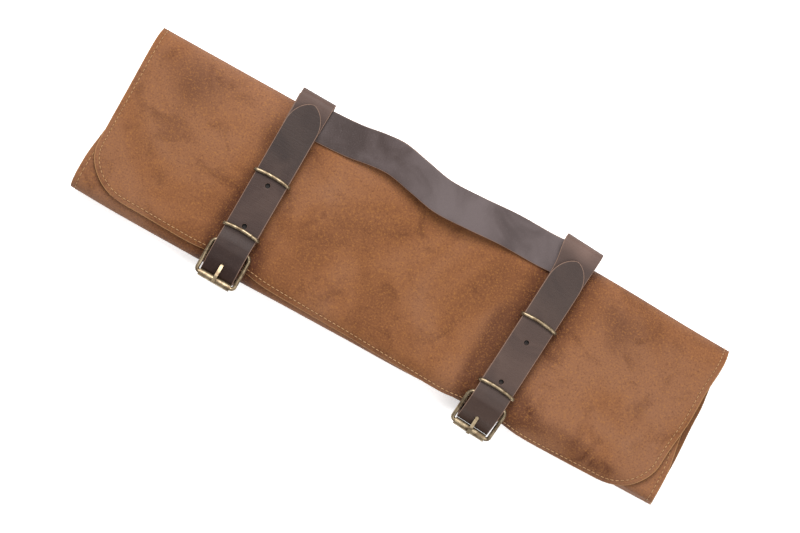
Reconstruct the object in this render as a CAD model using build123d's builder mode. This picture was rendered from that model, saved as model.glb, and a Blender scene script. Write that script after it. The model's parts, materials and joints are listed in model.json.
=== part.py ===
"""Leather brush roll case, closed: a folded roll held by two roller-buckle straps.

Millimetres. X runs along the roll, Y from the buckle edge to the handle edge, Z up.
The origin is on the surface that the roll lies on, under the middle of its back panel.
"""

from build123d import *
import os
from math import cos, radians, sin

os.makedirs("parts", exist_ok=True)

# ---- Driving dimensions: the roll ----
roll_length = 460.0  # along the fold lines
fold_line_y = 49.7  # both fold centres, either side of the middle
leather_t = 2.0
lining_t = 0.8
layer_gap = 0.3  # free space between layers that move apart
bottom_fold_r = 13.2  # outer radius of the fold beside the buckles
layer_shift = 2.0  # the under layers end this much further along +X
flap_corner_r = 30.0
flap_edge_left = -60.8  # Y of the free edge at the left end
flap_edge_right = -66.4  # and at the right end
inner_edge_y = -2.0  # free edge of the half-width inner panel
lining_inset = 2.0

# ---- Driving dimensions: pockets ----
pocket_t = 1.0
pocket_length = 200.0
pocket_end = 14.0  # from the left end of the roll to the closed ends
back_pocket_count = 3
back_pocket_pitch = 31.0
back_pocket_height = 8.0
inner_pocket_count = 2
inner_pocket_pitch = 21.0
inner_pocket_height = 7.0
pocket_seam = 3.0  # flat strip between two pockets

# ---- Driving dimensions: straps and their hardware ----
strap_w = 25.4
strap_t = 2.0
chape_t = 1.2  # skived end that folds back under the buckle
chape_length = 23.0
strap_end_y = 48.0  # where the front strap meets the loop over the handle end
loop_room = 1.9  # between the handle end and the loop round it
loop_slant = 12.0  # how far it comes in again on the way down
tail_length = 132.0  # from the tongue hole to the tip
tail_tip_l = 18.0
hole_d = 4.0
hole_pitch = 33.0
hole_count = 3
frame_wire_d = 3.0
frame_room = 0.9  # between the strap and each side of the frame
frame_l = 26.5  # wire centre to wire centre
frame_corner_r = 2.5  # beside the roller
frame_heel_r = 4.5  # beside the heel bar
roller_d = 5.6
roller_end_play = 0.1
running_fit = 0.1  # radial clearance of a ring on the frame wire
tongue_w = 2.4
tongue_slot_play = 0.5
chape_fit = 0.2  # radial clearance of the leather on the heel bar
keeper_wire_d = 2.0  # through its oval section
keeper_wire_w = 2.8  # along the strap
keeper_side_room = 0.25  # beside the strap
keeper_corner_r = 1.4
rivet_head_d = 7.0
rivet_head_t = 0.5
rivet_shank_d = 3.0
rivet_offset = 18.0  # from the heel bar, past the fixed keeper
rivet_spread = 12.0  # between the two rivets, across the strap
keeper_fit = 0.1  # free space between a keeper and the layers under the strap
keeper_room = 0.5  # and over the tail

# Each strap: its X at the middle of the roll, its angle in plan, the heel bar's
# place along it, the buckle's dip over the edge, the keepers' places and the tip's.
straps = {
    "left": dict(x=-112.0, skew=0.8, heel=-47.0, dip=3.0, fixed=-34.5, loose=9.2),
    "right": dict(x=102.2, skew=3.6, heel=-53.0, dip=18.0, fixed=-43.5, loose=11.7),
}

# ---- Driving dimensions: the handle ----
handle_w = 25.4
handle_t = 2.4
handle_y = 60.3
handle_rise = 13.0
handle_left_x = -97.8
handle_right_x = 90.2
tab_length = 27.0

# ---- Levels, from the surface upward ----
back_z0 = strap_t + layer_gap
back_z1 = back_z0 + leather_t
back_lining_z1 = back_z1 + lining_t
bottom_fold_z = back_z0 + bottom_fold_r
inner_z1 = bottom_fold_z + bottom_fold_r
inner_z0 = inner_z1 - leather_t
inner_lining_z0 = inner_z0 - lining_t
flap_lining_z0 = inner_z1 + layer_gap
flap_z0 = flap_lining_z0 + lining_t
flap_z1 = flap_z0 + leather_t
flap_mid_z = (flap_z0 + flap_z1) / 2
top_fold_z = (back_z0 + flap_z1) / 2
top_fold_mid_r = (flap_z1 - back_z0 - leather_t) / 2
chape_z0 = flap_z1 + layer_gap
keeper_low_z = chape_z0 + chape_t + keeper_fit + keeper_wire_d / 2
strap_z0 = keeper_low_z + keeper_wire_d / 2 + keeper_fit
strap_mid_z = strap_z0 + strap_t / 2
tail_z0 = strap_z0 + strap_t + rivet_head_t + layer_gap
tail_mid_z = tail_z0 + strap_t / 2
keeper_high_z = tail_z0 + strap_t + keeper_room + keeper_wire_d / 2
tab_mid_z = chape_z0 + handle_t / 2
strap_low_z = strap_t / 2

# ---- Sizes that follow ----
bar_r = frame_wire_d / 2
wrap_mid_r = bar_r + chape_fit + strap_t / 2
wrap_outer_r = wrap_mid_r + strap_t / 2
heel_z = chape_z0 + wrap_outer_r
tongue_slot_w = tongue_w + 2 * tongue_slot_play
frame_w = strap_w + 2 * frame_room + frame_wire_d
keeper_w = strap_w + 2 * keeper_side_room + keeper_wire_d
loop_reach_y = handle_y + handle_w / 2 + loop_room + strap_t / 2
roller_length = frame_w - 2 * frame_corner_r - 2 * roller_end_play
chape_w = frame_w - 2 * frame_heel_r - 2 * roller_end_play
edge_reach_y = -(fold_line_y + flap_z1 - bottom_fold_z)  # outermost leather of the flap
tail_rise_y = edge_reach_y - 2.0 - strap_t / 2


def lengthways(y_dir=1, x=0.0):
    """Plane across the roll at x, with its own Y up, or down when y_dir is -1."""
    return Plane(origin=(x, 0, 0), x_dir=(0, y_dir, 0), z_dir=(1, 0, 0))


def strap_plane(strap):
    """Plane through the middle of a strap: its X along the strap, its Y up."""
    a = radians(strap["skew"])
    return Plane(
        origin=(strap["x"], 0, 0),
        x_dir=(sin(a), cos(a), 0),
        z_dir=(cos(a), -sin(a), 0),
    )


def in_buckle(strap, along, above):
    """Point in the strap's plane, measured from the heel bar in the dipped buckle."""
    d = radians(strap["dip"])
    return (
        strap["heel"] - along * cos(d) - above * sin(d),
        heel_z - along * sin(d) + above * cos(d),
    )


def rivet_places(strap, z):
    """The two points at height z where the rivets pass through the strap."""
    plane = strap_plane(strap)
    along = strap["heel"] + rivet_offset
    return [plane.from_local_coords((along, z, s * rivet_spread / 2)) for s in (-1, 1)]


def save(piece, name):
    """Label a finished piece and write it as its own STEP."""
    piece.part.label = name
    export_step(piece.part, f"parts/{name}.step")


def flat_layer(name, y0, y1, z0, thickness, shift=0.0, inset=0.0):
    """A flat leather or lining layer between two Y values."""
    with BuildPart() as layer:
        with BuildSketch(Plane.XY.offset(z0)):
            with Locations((shift, (y0 + y1) / 2)):
                Rectangle(roll_length - 2 * inset, y1 - y0)
        extrude(amount=thickness)
    save(layer, name)


def half_fold(name, y, z, mid_r, side):
    """A half-round fold about the point (y, z), bulging to the side +1 or -1."""
    with BuildPart() as fold:
        with BuildSketch(lengthways(x=layer_shift)):
            with BuildLine() as route:
                ThreePointArc((y, z - mid_r), (y + side * mid_r, z), (y, z + mid_r))
            trace(route.line, line_width=leather_t)
        extrude(amount=roll_length / 2, both=True)
    save(fold, name)


def flap_panel():
    """The outer panel, which rolls down over the lower fold to its rounded free edge."""
    droop_r = flap_mid_z - bottom_fold_z
    droop_end = 84.0
    left_x = -roll_length / 2 - layer_shift
    right_x = roll_length / 2 - layer_shift
    with BuildPart() as flap:
        with BuildSketch(lengthways(x=-layer_shift)):
            with BuildLine() as route:
                Line((fold_line_y, flap_mid_z), (-fold_line_y, flap_mid_z))
                CenterArc((-fold_line_y, bottom_fold_z), droop_r, 90, droop_end)
            trace(route.line, line_width=leather_t)
        extrude(amount=roll_length / 2, both=True)
        with BuildSketch() as outline:
            with BuildLine():
                Polyline(
                    (left_x, fold_line_y),
                    (left_x, flap_edge_left),
                    (right_x, flap_edge_right),
                    (right_x, fold_line_y),
                    close=True,
                )
            make_face()
            fillet(outline.vertices().sort_by(Axis.Y)[:2], flap_corner_r)
        extrude(amount=flap_z1 + 1, mode=Mode.INTERSECT)
        for strap in straps.values():
            with Locations(*rivet_places(strap, flap_z1)):
                Hole(rivet_shank_d / 2, depth=leather_t + 1)
    save(flap, "flap_panel")


def pocket_panel(name, base_z, up, middle_y, count, pitch, height):
    """A row of flat-topped sleeves on one sheet, closed at the left end."""
    plane = lengthways(up, x=-roll_length / 2 + pocket_end)
    centres = [(i - (count - 1) / 2) * pitch + up * middle_y for i in range(count)]
    low = up * base_z
    sleeve_w = pitch - pocket_seam
    with BuildPart() as panel:
        with BuildSketch(plane):
            with Locations(*[(c, low + height / 2) for c in centres]):
                Rectangle(sleeve_w, height)
                Rectangle(sleeve_w - 2 * pocket_t, height - 2 * pocket_t, mode=Mode.SUBTRACT)
            with Locations((up * middle_y, low + pocket_t / 2)):
                Rectangle(count * pitch, pocket_t)
        extrude(amount=pocket_length)
        with BuildSketch(plane):
            with Locations(*[(c, low + height / 2) for c in centres]):
                Rectangle(sleeve_w, height)
        extrude(amount=pocket_t)
    save(panel, name)


def swept_strap(plane, points, radii, thickness=strap_t, width=strap_w):
    """Sweep a flat strap along rounded corners in the plane, inside a BuildPart block."""
    with BuildLine(plane) as route:
        FilletPolyline(*points, radius=radii)
    start = Plane(origin=route.line @ 0, x_dir=plane.z_dir, z_dir=route.line % 0)
    with BuildSketch(start) as section:
        Rectangle(width, thickness)
    sweep(section.sketch, path=route.line)


def strap_front(side, strap):
    """The strap from the handle end to the buckle, wrapped round the heel bar."""
    plane = strap_plane(strap)
    heel = strap["heel"]
    wrap_z = heel_z + wrap_mid_r
    with BuildPart() as front:
        swept_strap(
            plane,
            [
                (strap_end_y, strap_mid_z),
                (heel + 7.5, strap_mid_z),
                (heel + 3.5, wrap_z),
                (heel - wrap_mid_r, wrap_z),
                (heel - wrap_mid_r, heel_z - wrap_mid_r),
                (heel + 2.0, heel_z - wrap_mid_r),
            ],
            [3.0, 3.0, wrap_mid_r - 0.01, wrap_mid_r - 0.01],
        )
        with BuildSketch(plane):
            with Locations((heel + (chape_length + 1.0) / 2, chape_z0 + chape_t / 2)):
                Rectangle(chape_length - 1.0, chape_t)
        extrude(amount=strap_w / 2, both=True)
        with BuildSketch(plane):
            with Locations((heel - 1.0, heel_z)):
                Rectangle(2 * wrap_outer_r + 3.0, 2 * wrap_outer_r + 2.0)
        extrude(amount=tongue_slot_w / 2, both=True, mode=Mode.SUBTRACT)
        for edge in (-1, 1):
            with BuildSketch(plane.offset(edge * chape_w / 2)):
                with Locations((heel, heel_z)):
                    Rectangle(2 * wrap_outer_r + 8.0, 2 * wrap_outer_r + 4.0)
            extrude(amount=edge * strap_w, mode=Mode.SUBTRACT)
        with Locations(*rivet_places(strap, strap_z0 + strap_t)):
            Hole(rivet_shank_d / 2, depth=strap_z0 + strap_t - flap_z1)
    save(front, f"{side}_strap_front")


def strap_loop(side, strap):
    """The strap where it passes over the handle end and down behind the roll."""
    with BuildPart() as loop:
        swept_strap(
            strap_plane(strap),
            [
                (strap_end_y, strap_mid_z),
                (loop_reach_y, strap_mid_z),
                (loop_reach_y, tab_mid_z - 5.0),
                (loop_reach_y - loop_slant, strap_low_z),
                (strap_end_y, strap_low_z),
            ],
            [4.0, 6.0, 10.0],
        )
    save(loop, f"{side}_strap_loop")


def strap_back(side, strap):
    """The straight strap under the roll."""
    with BuildPart() as back:
        with BuildSketch(strap_plane(strap)):
            Rectangle(2 * strap_end_y, strap_t, align=(Align.CENTER, Align.MIN))
        extrude(amount=strap_w / 2, both=True)
    save(back, f"{side}_strap_back")


def tail_turn(strap):
    """Where the tail turns in under the roller, just before its tongue hole."""
    return in_buckle(strap, 21.0, -1.4)


def tail_split(strap):
    """Where the rising part of the tail ends and the part through the buckle starts."""
    turn = tail_turn(strap)
    share = 0.6
    return (
        tail_rise_y + (turn[0] - tail_rise_y) * share,
        strap_low_z + (turn[1] - strap_low_z) * share,
    )


def tail_bend(side, strap):
    """The tail's first part, which turns up round the lower edge of the roll."""
    with BuildPart() as bend:
        swept_strap(
            strap_plane(strap),
            [(-strap_end_y, strap_low_z), (tail_rise_y, strap_low_z), tail_split(strap)],
            [13.0],
        )
    save(bend, f"{side}_tail_bend")


def strap_tail(side, strap):
    """The tail from the roller, through the buckle and keepers, to its pointed tip."""
    plane = strap_plane(strap)
    over_heel = heel_z + wrap_outer_r + layer_gap + strap_t / 2
    heel = strap["heel"]
    turn = tail_turn(strap)
    hole = in_buckle(strap, 15.9, 1.9)
    rise = in_buckle(strap, 12.8, 3.8)
    tip_y = hole[0] + tail_length
    with BuildPart() as tail:
        swept_strap(
            plane,
            [
                tail_split(strap),
                turn,
                rise,
                (heel - 3.0, over_heel),
                (heel + 3.5, over_heel),
                (heel + 8.5, tail_mid_z),
                (tip_y, tail_mid_z),
            ],
            [3.0, 2.0, 4.0, 6.0, 6.0],
        )
        top = plane.from_local_coords((0, tail_mid_z + 3.0, 0))
        flat = Plane(origin=top, x_dir=plane.z_dir, z_dir=(0, 0, 1))
        with BuildSketch(flat):
            with BuildLine():
                point = (0, tip_y)
                left = (-strap_w / 2, tip_y - tail_tip_l)
                right = (strap_w / 2, tip_y - tail_tip_l)
                Line((-strap_w / 2 - 1, tip_y - tail_tip_l), left)
                Spline(left, point, right, tangents=[(0, 1), (0, -1)])
                Line(right, (strap_w / 2 + 1, tip_y - tail_tip_l))
                Polyline(
                    (strap_w / 2 + 1, tip_y - tail_tip_l),
                    (strap_w / 2 + 1, tip_y + 5),
                    (-strap_w / 2 - 1, tip_y + 5),
                    (-strap_w / 2 - 1, tip_y - tail_tip_l),
                )
            make_face()
        extrude(amount=-6.0, mode=Mode.SUBTRACT)
        with BuildSketch(flat):
            with Locations(*[(0, hole[0] + n * hole_pitch) for n in range(1, hole_count)]):
                Circle(hole_d / 2)
        extrude(amount=-6.0, mode=Mode.SUBTRACT)
        with BuildSketch(plane):
            with Locations(in_buckle(strap, 16.2, 1.9)):
                Rectangle(8.0, 7.5)
        extrude(amount=tongue_slot_w / 2, both=True, mode=Mode.SUBTRACT)
    save(tail, f"{side}_strap_tail")


def buckle_plane(strap):
    """The dipped buckle's own plane: X along the heel bar, Y toward the roller."""
    plane = strap_plane(strap)
    heel = plane.from_local_coords((strap["heel"], heel_z, 0))
    far = plane.from_local_coords((*in_buckle(strap, 1.0, 0.0), 0))
    return Plane(origin=heel, x_dir=plane.z_dir, z_dir=plane.z_dir.cross(far - heel))


def wire_ring(name, plane, width, length, near_r, far_r, wire_d, wire_w):
    """A closed ring of round or oval wire, centred on the plane's origin, with two corner radii."""
    with BuildSketch(plane) as outline:
        Rectangle(width, length)
        fillet(outline.vertices().group_by(Axis.Y)[0], near_r)
        fillet(outline.vertices().group_by(Axis.Y)[-1], far_r)
    route = outline.sketch.faces()[0].outer_wire()
    with BuildPart() as ring:
        with BuildSketch(Plane(origin=route @ 0, x_dir=plane.z_dir, z_dir=route % 0)):
            Ellipse(wire_w / 2, wire_d / 2)
        sweep(path=route)
    save(ring, name)


def buckle_frame(side, strap):
    """The wire frame: heel bar, two sides and the bar that carries the roller."""
    plane = buckle_plane(strap)
    middle = plane.from_local_coords((0, frame_l / 2, 0))
    wire_ring(
        f"{side}_buckle_frame", Plane(origin=middle, x_dir=plane.x_dir, z_dir=plane.z_dir),
        frame_w, frame_l, frame_heel_r, frame_corner_r, frame_wire_d, frame_wire_d,
    )


def buckle_roller(side, strap):
    """The roller on the frame's outer bar."""
    plane = buckle_plane(strap)
    bar = plane.from_local_coords((0, frame_l, 0))
    with BuildPart() as roller:
        with BuildSketch(Plane(origin=bar, x_dir=plane.y_dir, z_dir=plane.x_dir)):
            Circle(roller_d / 2)
            Circle(bar_r + running_fit, mode=Mode.SUBTRACT)
        extrude(amount=roller_length / 2, both=True)
    save(roller, f"{side}_buckle_roller")


def buckle_tongue(side, strap):
    """The tongue: a ring on the heel bar and a pin that rests on the roller."""
    plane = strap_plane(strap)
    rest = roller_d / 2 + tongue_w / 2 + 0.05
    ring_r = bar_r + running_fit + 1.2
    with BuildPart() as tongue:
        with BuildSketch(plane):
            with BuildLine() as route:
                FilletPolyline(
                    in_buckle(strap, 2.0, 0.6),
                    in_buckle(strap, 12.0, 0.9),
                    in_buckle(strap, 23.0, rest),
                    in_buckle(strap, 28.3, rest),
                    radius=[8.0, 4.0],
                )
            trace(route.line, line_width=tongue_w)
            with Locations((strap["heel"], heel_z)):
                Circle(ring_r)
                Circle(bar_r + running_fit, mode=Mode.SUBTRACT)
        extrude(amount=tongue_w / 2, both=True)
    save(tongue, f"{side}_buckle_tongue")


def keeper(name, strap, place):
    """A wire keeper round the strap and its tail."""
    plane = strap_plane(strap)
    middle = plane.from_local_coords((place, (keeper_low_z + keeper_high_z) / 2, 0))
    wire_ring(
        name, Plane(origin=middle, x_dir=plane.z_dir, z_dir=plane.x_dir),
        keeper_w, keeper_high_z - keeper_low_z, keeper_corner_r, keeper_corner_r,
        keeper_wire_d, keeper_wire_w,
    )


def chape_rivets(side, strap):
    """Two rivets that hold the folded chape and the strap to the flap."""
    places = [(p.X, p.Y) for p in rivet_places(strap, 0)]
    with BuildPart() as rivets:
        with BuildSketch(Plane.XY.offset(flap_z0)):
            with Locations(*places):
                Circle(rivet_shank_d / 2)
        extrude(amount=strap_z0 + strap_t - flap_z0)
        with BuildSketch(Plane.XY.offset(strap_z0 + strap_t)):
            with Locations(*places):
                Circle(rivet_head_d / 2)
        extrude(amount=rivet_head_t)
    save(rivets, f"{side}_chape_rivets")


def handle_strip():
    """The carrying handle, arched between the two straps."""
    mid_x = (handle_left_x + handle_right_x) / 2
    top_z = tab_mid_z + handle_rise
    quarter = (handle_right_x - handle_left_x) / 4
    with BuildPart() as handle:
        with BuildSketch(Plane.XZ.offset(-handle_y)):
            with BuildLine() as route:
                Spline(
                    (handle_left_x, tab_mid_z),
                    (handle_left_x + quarter, tab_mid_z + 0.72 * handle_rise),
                    (mid_x, top_z),
                    (handle_right_x - quarter, tab_mid_z + 0.72 * handle_rise),
                    (handle_right_x, tab_mid_z),
                    tangents=[(1, 0), (1, 0)],
                )
            trace(route.line, line_width=handle_t)
        extrude(amount=handle_w / 2, both=True)
    save(handle, "handle_strip")


def handle_end(name, x0, x1):
    """A flat end of the handle, held inside a strap loop."""
    with BuildPart() as tab:
        with BuildSketch(Plane.XY.offset(tab_mid_z - handle_t / 2)):
            with Locations(((x0 + x1) / 2, handle_y)):
                RectangleRounded(x1 - x0, handle_w, 2.0)
        extrude(amount=handle_t)
    save(tab, name)


flat_layer("back_panel", -fold_line_y, fold_line_y, back_z0, leather_t, shift=layer_shift)
flat_layer(
    "back_lining", -fold_line_y + lining_inset, fold_line_y - lining_inset,
    back_z1, lining_t, shift=layer_shift, inset=lining_inset,
)
half_fold("top_fold", fold_line_y, top_fold_z, top_fold_mid_r, 1)
half_fold("bottom_fold", -fold_line_y, bottom_fold_z, bottom_fold_r - leather_t / 2, -1)
flat_layer("inner_panel", -fold_line_y, inner_edge_y, inner_z0, leather_t, shift=layer_shift)
flat_layer(
    "inner_lining", -fold_line_y + lining_inset, inner_edge_y - lining_inset,
    inner_lining_z0, lining_t, shift=layer_shift, inset=lining_inset,
)
flap_panel()
flat_layer(
    "flap_lining", -fold_line_y + lining_inset, fold_line_y - lining_inset,
    flap_lining_z0, lining_t, shift=-layer_shift, inset=lining_inset,
)
pocket_panel(
    "back_pocket_panel", back_lining_z1, 1, 0.0,
    back_pocket_count, back_pocket_pitch, back_pocket_height,
)
pocket_panel(
    "inner_pocket_panel", inner_lining_z0, -1, (inner_edge_y - fold_line_y) / 2,
    inner_pocket_count, inner_pocket_pitch, inner_pocket_height,
)
for side, strap in straps.items():
    strap_front(side, strap)
    strap_loop(side, strap)
    strap_back(side, strap)
    tail_bend(side, strap)
    strap_tail(side, strap)
    buckle_frame(side, strap)
    buckle_roller(side, strap)
    buckle_tongue(side, strap)
    keeper(f"{side}_fixed_keeper", strap, strap["fixed"])
    keeper(f"{side}_loose_keeper", strap, strap["loose"])
    chape_rivets(side, strap)
handle_strip()
handle_end("left_handle_end", handle_left_x - tab_length, handle_left_x)
handle_end("right_handle_end", handle_right_x, handle_right_x + tab_length)
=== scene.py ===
"""Looks of a leather brush roll case: folded covers, linings, sleeves, straps and brass buckles.

Everything is in metres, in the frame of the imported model, closed and lying on its back.
"""

import json
import logging
import math
from dataclasses import dataclass, field
from enum import Enum
from typing import Callable, Sequence

import bmesh
import bpy
from mathutils import Matrix, Vector, kdtree, noise


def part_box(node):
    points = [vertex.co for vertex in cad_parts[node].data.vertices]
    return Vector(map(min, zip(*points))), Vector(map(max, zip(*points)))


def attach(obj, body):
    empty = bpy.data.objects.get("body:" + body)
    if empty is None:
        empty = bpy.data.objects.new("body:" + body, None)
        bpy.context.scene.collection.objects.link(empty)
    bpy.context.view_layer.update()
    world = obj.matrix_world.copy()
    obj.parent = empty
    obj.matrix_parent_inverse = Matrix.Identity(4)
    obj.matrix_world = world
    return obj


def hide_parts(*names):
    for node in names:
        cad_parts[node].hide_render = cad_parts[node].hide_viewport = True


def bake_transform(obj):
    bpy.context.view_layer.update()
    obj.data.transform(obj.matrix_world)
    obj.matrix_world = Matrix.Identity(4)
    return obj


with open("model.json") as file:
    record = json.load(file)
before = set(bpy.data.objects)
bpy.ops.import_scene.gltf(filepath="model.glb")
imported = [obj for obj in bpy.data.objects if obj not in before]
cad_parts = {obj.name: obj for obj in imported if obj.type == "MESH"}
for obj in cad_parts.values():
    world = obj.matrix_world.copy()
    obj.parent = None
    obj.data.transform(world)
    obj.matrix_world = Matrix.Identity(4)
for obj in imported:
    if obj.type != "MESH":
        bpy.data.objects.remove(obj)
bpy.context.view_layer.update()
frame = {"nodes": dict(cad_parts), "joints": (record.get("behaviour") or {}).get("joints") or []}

log = logging.getLogger("brush_roll")

MM = 0.001
Point2 = tuple[float, float]
Colour = tuple[float, float, float, float]

SOFT_EDGE = 0.35 * MM
SOFT_SHARE = 0.3
SOFT_ANGLE = math.radians(60)
EDGE_STEPS = 900


# ---------------------------------------------------------------- small sums


def smooth(low: float, high: float, value: float) -> float:
    """Ease from 0 at low to 1 at high.

    Args:
        low: Where the result is 0.
        high: Where the result is 1.
        value: The place asked for.

    Returns:
        A share from 0 to 1.
    """
    t = min(1.0, max(0.0, (value - low) / (high - low)))
    return t * t * (3 - 2 * t)


def bell(value: float, width: float) -> float:
    """A bell curve of height 1 about zero, with the given width."""
    return math.exp(-((value / width) ** 2))


def ripple(x: float, y: float, scale: float, seed: float) -> float:
    """Smooth, repeatable unevenness from about -1 to 1 over a surface."""
    return noise.noise(Vector((x * scale, y * scale, seed)))


@dataclass(frozen=True)
class Tone:
    """A colour, given as a screen shows it, from 0 to 255."""

    red: float
    green: float
    blue: float

    def linear(self) -> Colour:
        """The colour as the renderer wants it.

        Returns:
            Linear red, green, blue and alpha.
        """
        channels = [c / 255 for c in (self.red, self.green, self.blue)]
        light = [c / 12.92 if c <= 0.04045 else ((c + 0.055) / 1.055) ** 2.4 for c in channels]
        return (light[0], light[1], light[2], 1.0)


# ---------------------------------------------------------------- shader desk


class Signal:
    """A shader socket that takes part in Python arithmetic."""

    def __init__(self, desk: "ShaderDesk", socket: bpy.types.NodeSocket) -> None:
        """Wrap a socket of the desk's material."""
        self.desk = desk
        self.socket = socket

    def __add__(self, other: "Signal | float") -> "Signal":
        """Sum of two values."""
        return self.desk.maths("ADD", self, other)

    __radd__ = __add__

    def __mul__(self, other: "Signal | float") -> "Signal":
        """Product of two values."""
        return self.desk.maths("MULTIPLY", self, other)

    __rmul__ = __mul__

    def __sub__(self, other: "Signal | float") -> "Signal":
        """Difference of two values."""
        return self.desk.maths("SUBTRACT", self, other)

    def __rsub__(self, other: float) -> "Signal":
        """Difference, from a plain number."""
        return self.desk.maths("SUBTRACT", other, self)

    def clipped(self) -> "Signal":
        """The value held between 0 and 1."""
        return Signal(self.desk, self.desk.node("ShaderNodeClamp", {}, Value=self).outputs[0])

    def step(self, low: float, high: float) -> "Signal":
        """Ease from 0 at low to 1 at high.

        Args:
            low: Where the result is 0.
            high: Where the result is 1.

        Returns:
            A value from 0 to 1.
        """
        made = self.desk.node(
            "ShaderNodeMapRange", {"interpolation_type": "SMOOTHSTEP"},
            Value=self, **{"From Min": low, "From Max": high},
        )
        return Signal(self.desk, made.outputs[0])


class ShaderDesk:
    """Builds one material's nodes."""

    def __init__(self, name: str) -> None:
        """Start an empty material with a shader and an output.

        Args:
            name: The material's name.
        """
        self.material = bpy.data.materials.new(name)
        self.material.use_nodes = True
        self.tree = self.material.node_tree
        self.tree.nodes.clear()
        self.output = self.node("ShaderNodeOutputMaterial", {})
        self.shader = self.node("ShaderNodeBsdfPrincipled", {})
        self.tree.links.new(self.shader.outputs[0], self.output.inputs["Surface"])

    def node(self, kind: str, settings: dict[str, object], **values: object) -> bpy.types.Node:
        """Add a node of any type.

        Args:
            kind: Blender's name for the node type.
            settings: Properties, set before the sockets.
            values: Socket values or signals, by socket name.

        Returns:
            The new node.
        """
        made = self.tree.nodes.new(kind)
        for key, value in settings.items():
            setattr(made, key, value)
        for key, value in values.items():
            self.feed(made.inputs[key], value)
        return made

    def feed(self, socket: bpy.types.NodeSocket, value: object) -> None:
        """Set a socket's value, or link a signal to it.

        Args:
            socket: The socket.
            value: A plain value, or a signal.
        """
        if isinstance(value, Signal):
            self.tree.links.new(value.socket, socket)
        else:
            socket.default_value = value

    def maths(self, operation: str, a: object, b: object) -> Signal:
        """One Math node on two values.

        Args:
            operation: Blender's name for the sum.
            a: The first value or signal.
            b: The second.

        Returns:
            The result.
        """
        made = self.tree.nodes.new("ShaderNodeMath")
        made.operation = operation
        self.feed(made.inputs[0], a)
        self.feed(made.inputs[1], b)
        return Signal(self, made.outputs[0])

    def place(self) -> Signal:
        """Object coordinates, in metres."""
        return Signal(self, self.node("ShaderNodeTexCoord", {}).outputs["Object"])

    def cut(self) -> Signal:
        """The flat cut's coordinates, in metres, from the piece's own map."""
        return Signal(self, self.node("ShaderNodeUVMap", {"uv_map": "cut"}).outputs[0])

    def axis(self, vector: Signal, name: str) -> Signal:
        """One part of a vector: X, Y or Z."""
        return Signal(self, self.node("ShaderNodeSeparateXYZ", {}, Vector=vector).outputs[name])

    def attribute(self, name: str) -> Signal:
        """A number stored on the piece's points."""
        made = self.node("ShaderNodeAttribute", {"attribute_name": name})
        return Signal(self, made.outputs["Fac"])

    def stretched(self, vector: Signal, scale: tuple[float, float, float]) -> Signal:
        """Coordinates multiplied along each axis."""
        made = self.node("ShaderNodeMapping", {}, Vector=vector, Scale=scale)
        return Signal(self, made.outputs[0])

    def noise(self, vector: Signal, scale: float, detail: float = 2.0, rough: float = 0.5,
              bend: float = 0.0) -> Signal:
        """Soft noise.

        Args:
            vector: Where it is read.
            scale: Its blobs per metre.
            detail: Octaves.
            rough: Strength of the finer octaves.
            bend: Distortion.

        Returns:
            A value about 0.5.
        """
        made = self.node("ShaderNodeTexNoise", {}, Vector=vector, Scale=scale, Detail=detail,
                         Roughness=rough, Distortion=bend)
        return Signal(self, made.outputs[0])

    def cells(self, vector: Signal, scale: float) -> Signal:
        """Distance to the nearest of scattered points."""
        made = self.node("ShaderNodeTexVoronoi", {}, Vector=vector, Scale=scale)
        return Signal(self, made.outputs["Distance"])

    def blend(self, share: Signal | float, first: object, second: object) -> Signal:
        """Mix two colours.

        Args:
            share: How much of the second.
            first: A signal, or a linear colour.
            second: A signal, or a linear colour.

        Returns:
            The mixed colour.
        """
        made = self.tree.nodes.new("ShaderNodeMix")
        made.data_type = "RGBA"
        self.feed(made.inputs[0], share)
        self.feed(made.inputs[6], first)
        self.feed(made.inputs[7], second)
        return Signal(self, made.outputs[2])

    def bump(self, height: Signal, depth: float, under: Signal | None = None) -> Signal:
        """A bumped normal.

        Args:
            height: Relief from 0 to 1.
            depth: The height of 1, in metres.
            under: A normal that this one adds to.

        Returns:
            The new normal.
        """
        values = {"Height": height, "Distance": depth, "Strength": 1.0}
        if under is not None:
            values["Normal"] = under
        return Signal(self, self.node("ShaderNodeBump", {}, **values).outputs[0])

    def dress(self, **values: object) -> bpy.types.Material:
        """Set the shader's sockets by name and give the material back.

        Args:
            values: Values or signals, by socket name with _ for a space.

        Returns:
            The finished material.
        """
        for key, value in values.items():
            self.feed(self.shader.inputs[key.replace("_", " ")], value)
        return self.material


# ---------------------------------------------------------------- finishes


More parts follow.
